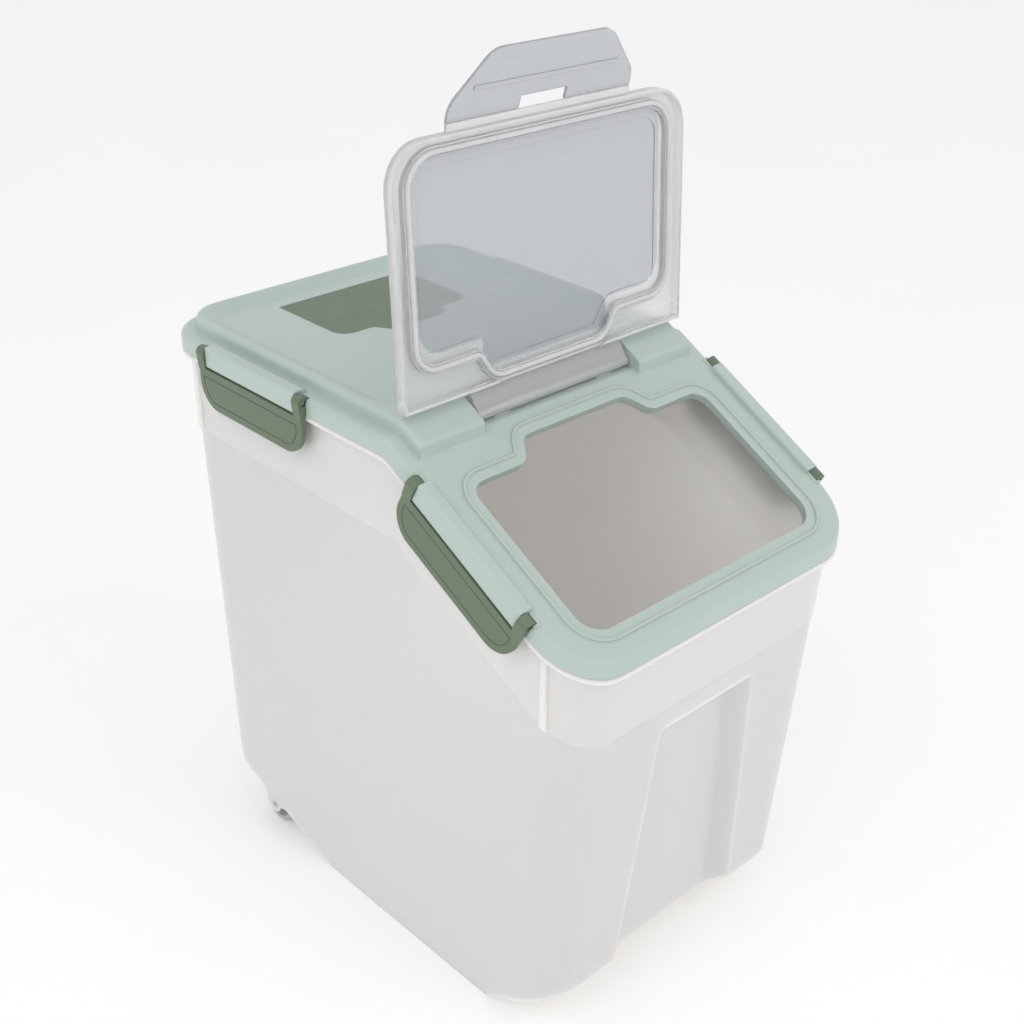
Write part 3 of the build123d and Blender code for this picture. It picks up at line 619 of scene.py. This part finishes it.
@dataclass(frozen=True)
class Pane:
    """An upright rounded rectangle in X and Z."""

    half_width: float
    low: float
    high: float
    corner: float

    def outside(self, n: Nodes) -> bpy.types.NodeSocket:
        """Distance outside the rectangle, from the object's own coordinates.

        Past the straight sides it is the distance to the inner rectangle that the corners' centres
        span, less the corner's radius.

        Args:
            n: The nodes of the material.

        Returns:
            The distance in metres, not above zero inside.
        """
        middle, half_height = (self.low + self.high) / 2, (self.high - self.low) / 2
        place = n.split(n.place())
        across = n.math("ABSOLUTE", place["X"])
        up = n.math("ABSOLUTE", n.math("SUBTRACT", place["Z"], middle))
        over_x = n.math("MAXIMUM", n.math("SUBTRACT", across, self.half_width - self.corner), 0.0)
        over_z = n.math("MAXIMUM", n.math("SUBTRACT", up, half_height - self.corner), 0.0)
        squared = n.math("ADD", n.math("MULTIPLY", over_x, over_x), n.math("MULTIPLY", over_z, over_z))
        return n.math("SUBTRACT", n.math("SQRT", squared), self.corner)


@dataclass(frozen=True)
class ClearPlastic:
    """Clear moulded plastic with a milky cast, a painted highlight along its edges, smudges and hairline
    rubs.

    It is frosted outside its panes, and less so below its foot.
    """

    name: str
    colour: Triple
    haze: float
    roughness: float
    frost: Triple = (0.965, 0.965, 0.97)
    frost_roughness: float = 0.3
    foot: float = 0.0
    foot_blend: float = 20 * MM
    foot_share: float = 0.3
    panes: tuple[Pane, ...] = ()
    pane_blend: float = 1.5 * MM
    painted_edge_highlight: float = 0.6
    edge_radius: float = 0.6 * MM
    rub_light: float = 0.12
    rub_dulling: float = 0.06
    smudge_dulling: float = 0.04
    relief: float = 0.15
    relief_depth: float = 0.2 * MM
    refraction: float = 1.45

    def frosting(self, n: Nodes) -> bpy.types.NodeSocket | float:
        """How frosted each place is.

        Args:
            n: The nodes of the material.

        Returns:
            0 in the panes and 1 outside them, or 0 without panes.
        """
        if not self.panes:
            return 0.0
        gap = self.panes[0].outside(n)
        for pane in self.panes[1:]:
            gap = n.math("MINIMUM", gap, pane.outside(n))
        return n.spread(gap, 0.0, self.pane_blend)

    def material(self, effects: Effects) -> bpy.types.Material:
        """Builds the material.

        Args:
            effects: The shared groups.

        Returns:
            The material.
        """
        made, n, shader = new_material(self.name)
        skin = n.group(effects.skin, Grain_depth=0.12, Wave_size=9.0)
        edge = n.group(effects.edges, Radius=self.edge_radius)
        hands = n.group(effects.handling, Smudge_size=16.0)
        frosted = self.frosting(n)
        body = n.mix(frosted, rgba(self.colour), rgba(self.frost))
        # Painted highlight: the edge mask pales the clear colour towards near-white along the edges.
        pale = n.math("MULTIPLY", edge.outputs["Edge"], self.painted_edge_highlight)
        milky = n.mix(pale, body, rgba(PAINTED_CLEAR_EDGE_HIGHLIGHT))
        smudge, rub = hands.outputs["Smudge"], hands.outputs["Rub"]
        colour = n.mix(n.math("MULTIPLY", rub, self.rub_light), milky, rgba(RUBBED))
        rough = n.spread(smudge, 0.0, 1.0, self.roughness, self.roughness + self.smudge_dulling)
        rough = n.math("ADD", rough, n.math("MULTIPLY", rub, self.rub_dulling), clamp=True)
        up = n.split(n.place())["Z"]
        fade = n.spread(up, self.foot - self.foot_blend, self.foot + self.foot_blend, self.foot_share)
        frost = n.math("MULTIPLY", n.math("MULTIPLY", frosted, fade), self.frost_roughness)
        rough = n.math("ADD", rough, frost, clamp=True)
        height, normal = skin.outputs["Height"], edge.outputs["Normal"]
        n.finish(shader, colour, rough, n.relief(height, self.relief, self.relief_depth, normal))
        shader.inputs["Transmission Weight"].default_value = 1.0 - self.haze
        shader.inputs["IOR"].default_value = self.refraction
        return made


@dataclass(frozen=True)
class Silicone:
    """Soft seal rubber: satin, slightly see-through, with a powdery bloom."""

    name: str
    colour: Triple
    glow: float
    shade: float = 0.86
    smooth: float = 0.48
    dull: float = 0.62
    relief: float = 0.3
    relief_depth: float = 0.2 * MM
    glow_depth: float = 3.0 * MM
    glow_tint: Triple = (1.0, 1.0, 0.95)

    def material(self, effects: Effects) -> bpy.types.Material:
        """Builds the material.

        Args:
            effects: The shared groups.

        Returns:
            The material.
        """
        made, n, shader = new_material(self.name)
        skin = n.group(effects.skin, Grain_size=2200.0, Grain_depth=0.5, Wave_size=60.0)
        dust = n.group(effects.dust, Amount=0.15, Patch_size=90.0)
        darker = tuple(self.shade * c for c in self.colour)
        body = n.mix(skin.outputs["Variation"], rgba(darker), rgba(self.colour))
        colour = n.mix(dust.outputs["Mask"], body, rgba(BLOOM))
        rough = n.spread(skin.outputs["Variation"], 0.0, 1.0, self.smooth, self.dull)
        relief = n.relief(skin.outputs["Height"], self.relief, self.relief_depth)
        n.finish(shader, colour, rough, relief)
        shader.inputs["Subsurface Weight"].default_value = self.glow
        shader.inputs["Subsurface Scale"].default_value = self.glow_depth
        shader.inputs["Subsurface Radius"].default_value = self.glow_tint
        return made


@dataclass(frozen=True)
class DrawnSteel:
    """Drawn steel wire: fine lines along the bar and a little haze."""

    name: str
    colour: Triple
    shade: float = 0.75
    smooth: float = 0.28
    dull: float = 0.4
    relief: float = 0.2
    relief_depth: float = 0.1 * MM

    def material(self, effects: Effects) -> bpy.types.Material:
        """Builds the material.

        Args:
            effects: The shared groups.

        Returns:
            The material.
        """
        made, n, shader = new_material(self.name)
        stretch = {"Vector": n.place(), "Scale": (60.0, 3000.0, 3000.0)}
        drawn = n.add("ShaderNodeMapping", stretch).outputs[0]
        lines = n.add("ShaderNodeTexNoise", {"Vector": drawn, "Scale": 1.0, "Detail": 3.0}).outputs["Fac"]
        hands = n.group(effects.handling, Smudge_size=60.0)
        duller = tuple(self.shade * c for c in self.colour)
        colour = n.mix(n.spread(lines, 0.35, 0.65), rgba(duller), rgba(self.colour))
        rough = n.spread(hands.outputs["Smudge"], 0.0, 1.0, self.smooth, self.dull)
        n.finish(shader, colour, rough, n.relief(lines, self.relief, self.relief_depth))
        shader.inputs["Metallic"].default_value = 1.0
        return made


@dataclass(frozen=True)
class Finishes:
    """Every material of the bin."""

    tub: bpy.types.Material
    lid: bpy.types.Material
    latch: bpy.types.Material
    clear: bpy.types.Material
    tongue: bpy.types.Material
    flap_seal: bpy.types.Material
    lid_seal: bpy.types.Material
    steel: bpy.types.Material
    tray: bpy.types.Material
    wheel: bpy.types.Material

    @classmethod
    def make(cls, effects: Effects) -> "Finishes":
        """Builds each material once.

        Args:
            effects: The shared groups.

        Returns:
            The set.
        """
        # Each plastic's edge setting is how strongly a painted highlight lightens its edges.
        ivory = Plastic(
            "Ivory plastic", (0.89, 0.855, 0.825), (0.88, 0.845, 0.815), roughness=0.3,
            grain=0.12, painted_edge_highlight=0.0, glow=1.0, glow_depth=11.0 * MM,
        )
        pale = Plastic(
            "Pale green plastic", (0.50, 0.60, 0.56), (0.485, 0.585, 0.545), roughness=0.36,
            painted_edge_highlight=0.55, edge_radius=1.2 * MM, glow=0.04,
        )
        sage = Plastic(
            "Sage plastic", (0.135, 0.185, 0.115), (0.128, 0.176, 0.109), roughness=0.42, painted_edge_highlight=0.12
        )
        white = Plastic("White plastic", (0.78, 0.78, 0.76), (0.75, 0.75, 0.73), roughness=0.45)
        grey = Plastic(
            "Grey plastic", (0.48, 0.48, 0.47), (0.44, 0.44, 0.43), roughness=0.5, grain=0.5, dust=0.2
        )
        window = Pane(half_width=108 * MM, low=462.5 * MM, high=584.5 * MM, corner=17 * MM)
        neck = Pane(half_width=56 * MM, low=442.5 * MM, high=480 * MM, corner=8 * MM)
        clear = ClearPlastic(
            "Clear plastic", (0.68, 0.70, 0.73), haze=0.32, roughness=0.035,
            panes=(window, neck), foot=435 * MM,
        )
        tongue = ClearPlastic("Clear tongue plastic", (0.70, 0.72, 0.75), haze=0.4, roughness=0.08)
        return cls(
            tub=ivory.material(effects),
            lid=pale.material(effects),
            latch=sage.material(effects),
            clear=clear.material(effects),
            tongue=tongue.material(effects),
            flap_seal=Silicone("Flap seal", (0.73, 0.732, 0.74), glow=0.3).material(effects),
            lid_seal=Silicone("Lid seal", (0.74, 0.74, 0.72), glow=0.2).material(effects),
            steel=DrawnSteel("Drawn steel", (0.62, 0.62, 0.61)).material(effects),
            tray=white.material(effects),
            wheel=grey.material(effects),
        )


def dress(node: str, material: bpy.types.Material) -> None:
    """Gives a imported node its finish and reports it.

    Args:
        node: The node's name.
        material: Its finish.
    """
    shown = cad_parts[node]
    if not shown.material_slots:
        shown.data.materials.append(material)
    for slot in shown.material_slots:
        slot.material = material
    LOG.info("dressed %s in %s", node, material.name)


def settle(
    made: bpy.types.Object, material: bpy.types.Material, body: str, node: str
) -> None:
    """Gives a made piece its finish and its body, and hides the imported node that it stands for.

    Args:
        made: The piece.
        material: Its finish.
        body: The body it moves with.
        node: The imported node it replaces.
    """
    made.data.materials.append(material)
    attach(made, body)
    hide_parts(node)
    LOG.info("made %s with %d faces", made.name, len(made.data.polygons))


# ---- sub-assemblies --------------------------------------------------------------------------


class Side(Enum):
    """The left and the right of the bin, seen from the front."""

    LEFT = -1
    RIGHT = 1

    @property
    def word(self) -> str:
        """The side's name as used in node names."""
        return self.name.lower()


@dataclass
class Tub:
    """The tapered tub."""

    finishes: Finishes

    def build(self) -> None:
        """Dresses the tub."""
        dress("bin_body", self.finishes.tub)


@dataclass
class Lid:
    """The sloping lid with its seal and hinge rod."""

    finishes: Finishes
    rod_radius: float = 1.5 * MM
    rod_bevel: float = 0.3 * MM

    def build(self) -> None:
        """Dresses the lid and its seal, and makes the hinge rod."""
        dress("lid", self.finishes.lid)
        dress("lid_gasket", self.finishes.lid_seal)
        low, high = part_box("flap_hinge_rod")
        rod = bar("HingeRod", low, high, self.rod_radius, self.rod_bevel)
        settle(rod, self.finishes.steel, "lid", "flap_hinge_rod")


@dataclass
class Flap:
    """The clear flap in its open pose, with its seal and pull tongue."""

    finishes: Finishes
    lean: float = math.radians(86.5)
    hinge_run: float = 188.9 * MM
    seal_inner: float = 3.1 * MM
    seal_outer: float = 6.7 * MM
    seal_top: float = 4.8 * MM
    seal_height: float = 5.7 * MM
    seal_bedding: float = 0.02 * MM
    seal_step: float = 1.6 * MM
    crest_steps: int = 9
    corner_steps: int = 12
    opening_half: float = 110.0 * MM
    opening_front: float = 21.0 * MM
    opening_shoulder: float = 144.5 * MM
    opening_back: float = 163.1 * MM
    neck_wide: float = 60.0 * MM
    neck_narrow: float = 48.0 * MM
    front_radius: float = 17.0 * MM
    back_radius: float = 12.0 * MM
    neck_radius: float = 11.0 * MM
    hinge_y: float = -49.5 * MM
    hinge_z: float = 414.5 * MM

    def seal_line(self) -> np.ndarray:
        """Middle line of the seal, outside the scoop opening's outline on the lid's slope.

        Returns:
            Array of points by 2: across, and up the slope from its foot.
        """
        half = [
            (self.opening_half, self.opening_front),
            (self.opening_half, self.opening_shoulder),
            (self.neck_wide, self.opening_shoulder),
            (self.neck_narrow, self.opening_back),
        ]
        radii = [self.front_radius, self.back_radius, self.neck_radius, self.neck_radius]
        corners = np.array(half + [(-x, y) for x, y in reversed(half)])
        middle = (self.seal_inner + self.seal_outer) / 2
        rounding = np.array(radii + radii[::-1])
        return evenly(rounded_profile(corners, rounding, middle, self.corner_steps), self.seal_step)

    def swung(self, across: np.ndarray, run: np.ndarray, rise: np.ndarray) -> np.ndarray:
        """Carries points of the shut flap to its open pose.

        A point's distance from the pivot up the slope and its height over the pivot become a
        distance along the leaning flap and a distance behind it.

        Args:
            across: X of each point.
            run: Distance up the slope from its foot.
            rise: Height over the pivot, square to the slope.

        Returns:
            Array of the same shape by 3.
        """
        out = self.hinge_run - run
        y = self.hinge_y + out * math.cos(self.lean) + rise * math.sin(self.lean)
        z = self.hinge_z + out * math.sin(self.lean) - rise * math.cos(self.lean)
        return np.stack([across, y, z], axis=-1)

    def seal(self) -> bpy.types.Object:
        """The seal: a strip with a rounded crest, carried round the seal's line.

        The crest is half a circle as wide as the strip, and the sides run straight to its foot.

        Returns:
            The mesh object.
        """
        line = self.seal_line()
        normal = outward(line)
        wide = (self.seal_outer - self.seal_inner) / 2
        foot, crest = self.seal_top - self.seal_bedding, self.seal_top - self.seal_height
        arc = np.linspace(0, np.pi, self.crest_steps)
        crest_line = np.column_stack([wide * np.cos(arc), crest + wide - wide * np.sin(arc)])
        profile = np.vstack([[(wide, foot)], crest_line, [(-wide, foot)]])
        across = line[:, None, 0] + normal[:, None, 0] * profile[None, :, 0]
        run = line[:, None, 1] + normal[:, None, 1] * profile[None, :, 0]
        rise = np.broadcast_to(profile[None, :, 1], across.shape)
        return grid_object("FlapSeal", self.swung(across, run, rise), Ends.JOINED)

    def build(self) -> None:
        """Dresses the flap and its tongue, and makes the seal."""
        dress("flap", self.finishes.clear)
        dress("flap_tongue", self.finishes.tongue)
        settle(self.seal(), self.finishes.flap_seal, "flap", "flap_gasket")


@dataclass
class Latches:
    """The four side latches."""

    finishes: Finishes

    def build(self) -> None:
        """Dresses each latch."""
        for end in ("front", "rear"):
            for side in Side:
                dress(f"latch_{end}_{side.word}", self.finishes.latch)


@dataclass
class DesiccantPocket:
    """The dark cover and the basket under it."""

    finishes: Finishes

    def build(self) -> None:
        """Dresses the cover and the tray."""
        dress("desiccant_cover", self.finishes.latch)
        dress("desiccant_tray", self.finishes.tray)


@dataclass
class Wheels:
    """The two rear wheels and their stub axles."""

    finishes: Finishes
    radius: float = 17.0 * MM
    half_width: float = 7.0 * MM
    bore: float = 2.06 * MM
    hub: float = 5.0 * MM
    rim: float = 13.0 * MM
    web: float = 1.5 * MM
    tread_inset: float = 2.6 * MM
    tread_fall: float = 0.05 * MM
    shoulder: float = 1.2 * MM
    shoulder_fall: float = 0.5 * MM
    face_inset: float = 0.8 * MM
    face_fall: float = 1.4 * MM
    fillet: float = 0.4 * MM
    web_fillet: float = 0.5 * MM
    rim_draft: float = 0.2 * MM
    web_blend: float = 0.8 * MM
    lip: float = 0.3 * MM
    tread_depth: float = 0.5 * MM
    tread_count: int = 36
    steps: int = 288
    axle_radius: float = 2.0 * MM
    axle_bevel: float = 0.4 * MM

    def profile(self) -> tuple[np.ndarray, np.ndarray]:
        """Section of the wheel as a loop: tread, shoulder, face, rim, web, hub and bore.

        Returns:
            Array of points by 2, and how deep the tread cuts at each point.
        """
        w, crown, web = self.half_width, self.radius, self.web
        face = w - self.face_inset
        right = np.array([
            (0.0, crown),
            (w - self.tread_inset, crown - self.tread_fall),
            (w - self.shoulder, crown - self.shoulder_fall),
            (face, crown - self.face_fall),
            (face, self.rim + self.fillet),
            (face - self.fillet, self.rim),
            (web + self.web_fillet, self.rim - self.rim_draft),
            (web, self.rim - self.web_blend),
            (web, self.hub + self.web_blend),
            (web + self.web_fillet, self.hub),
            (w - self.lip, self.hub),
            (w, self.hub - self.fillet),
            (w, self.bore + self.lip),
            (w - self.lip, self.bore),
        ])
        left = right[::-1][:-1] * np.array([-1.0, 1.0])
        loop = np.vstack([right, left])
        ripple = np.where(loop[:, 1] >= crown - self.shoulder_fall, self.tread_depth, 0.0)
        ripple[loop[:, 0] == 0.0] = 0.0
        return loop, ripple

    def build(self) -> None:
        """Makes both wheels and both axles."""
        loop, ripple = self.profile()
        for side in Side:
            wheel_node, axle_node = f"wheel_{side.word}", f"wheel_axle_{side.word}"
            low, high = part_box(wheel_node)
            middle = (low + high) / 2
            wheel = turned(
                f"Wheel_{side.word}", loop, middle, Ends.JOINED, self.steps, ripple, self.tread_count
            )
            settle(wheel, self.finishes.wheel, wheel_node, wheel_node)
            low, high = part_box(axle_node)
            axle = bar(f"Axle_{side.word}", low, high, self.axle_radius, self.axle_bevel)
            settle(axle, self.finishes.steel, "tub", axle_node)


# ---- studio ----------------------------------------------------------------------------------


@dataclass
class Studio:
    """Floor, soft light and camera."""

    eye: Triple = (-0.6555, -0.6936, 0.82085)
    heading: float = math.radians(43.9)
    pitch: float = math.radians(28.72)
    roll: float = math.radians(0.99)
    lens: float = 52.33
    sensor: float = 36.0
    nearest: float = 0.01
    farthest: float = 50.0
    aim: Triple = (0.0, 0.0, 0.25)
    sky: float = 0.82
    floor_half: float = 6.0
    floor_colour: Triple = (0.93, 0.93, 0.93)
    floor_paler: Triple = (0.94, 0.94, 0.94)
    floor_glow: float = 0.12
    warm: Triple = (1.0, 0.99, 0.97)

    def camera(self) -> None:
        """Places the camera from its heading, downward pitch and roll."""
        a, e, r = self.heading, self.pitch, self.roll
        ahead = Vector((math.sin(a) * math.cos(e), math.cos(a) * math.cos(e), -math.sin(e)))
        level = Vector((math.cos(a), -math.sin(a), 0.0))
        up = level.cross(ahead)
        right = level * math.cos(r) + up * math.sin(r)
        above = up * math.cos(r) - level * math.sin(r)
        data = bpy.data.cameras.new("Camera")
        data.lens, data.sensor_width = self.lens, self.sensor
        data.clip_start, data.clip_end = self.nearest, self.farthest
        made = bpy.data.objects.new("Camera", data)
        turn = Matrix((right, above, -ahead)).transposed().to_4x4()
        made.matrix_world = Matrix.Translation(self.eye) @ turn
        bpy.context.scene.collection.objects.link(made)
        bpy.context.scene.camera = made

    def light(self, name: str, place: Triple, size: float, power: float) -> None:
        """Adds one large soft light that looks at the bin.

        Args:
            name: The light's name.
            place: Where it stands.
            size: Edge of its square.
            power: Watts.
        """
        data = bpy.data.lights.new(name, "AREA")
        data.size, data.energy, data.color = size, power, self.warm
        made = bpy.data.objects.new(name, data)
        made.location = place
        towards = Vector(self.aim) - Vector(place)
        made.rotation_euler = towards.to_track_quat("-Z", "Y").to_euler()
        bpy.context.scene.collection.objects.link(made)

    def floor(self) -> None:
        """A wide pale floor with the faintest mottling."""
        made, n, shader = new_material("Pale floor")
        tone = n.spread(n.noise(3.0, 2.0), 0.3, 0.7)
        n.feed(n.mix(tone, rgba(self.floor_colour), rgba(self.floor_paler)), shader.inputs["Base Color"])
        shader.inputs["Roughness"].default_value = 0.7
        shader.inputs["Emission Color"].default_value = (1.0, 1.0, 1.0, 1.0)
        shader.inputs["Emission Strength"].default_value = self.floor_glow
        mesh = bpy.data.meshes.new("Floor")
        far = self.floor_half
        corners = [(-far, -far, 0), (far, -far, 0), (far, far, 0), (-far, far, 0)]
        mesh.from_pydata(corners, [], [(0, 1, 2, 3)])
        plane = bpy.data.objects.new("Floor", mesh)
        mesh.materials.append(made)
        bpy.context.scene.collection.objects.link(plane)

    def build(self) -> None:
        """Sets the floor, the light and the camera."""
        self.floor()
        self.camera()
        world = bpy.data.worlds.new("Studio")
        world.use_nodes = True
        sky = world.node_tree.nodes["Background"].inputs
        sky["Color"].default_value = (1.0, 1.0, 1.0, 1.0)
        sky["Strength"].default_value = self.sky
        bpy.context.scene.world = world
        self.light("Key", (-1.6, -0.4, 1.9), size=1.4, power=6.0)
        self.light("Fill", (0.5, -1.9, 2.0), size=1.2, power=6.0)
        bpy.context.scene.view_settings.view_transform = "Standard"
        LOG.info("studio ready")


def plain(box: tuple[Vector, Vector]) -> list[list[float]]:
    """A box as plain lists of numbers."""
    return [[round(float(v), 6) for v in corner] for corner in box]


def main() -> None:
    """Builds every sub-assembly in order."""
    logging.basicConfig(level=logging.INFO, format="%(message)s")
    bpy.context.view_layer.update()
    finishes = Finishes.make(Effects.make())
    for assembly in (Tub, Lid, Flap, Latches, DesiccantPocket, Wheels):
        LOG.info("building %s", assembly.__name__)
        assembly(finishes).build()
    Studio().build()


if __name__ == "__main__":
    main()
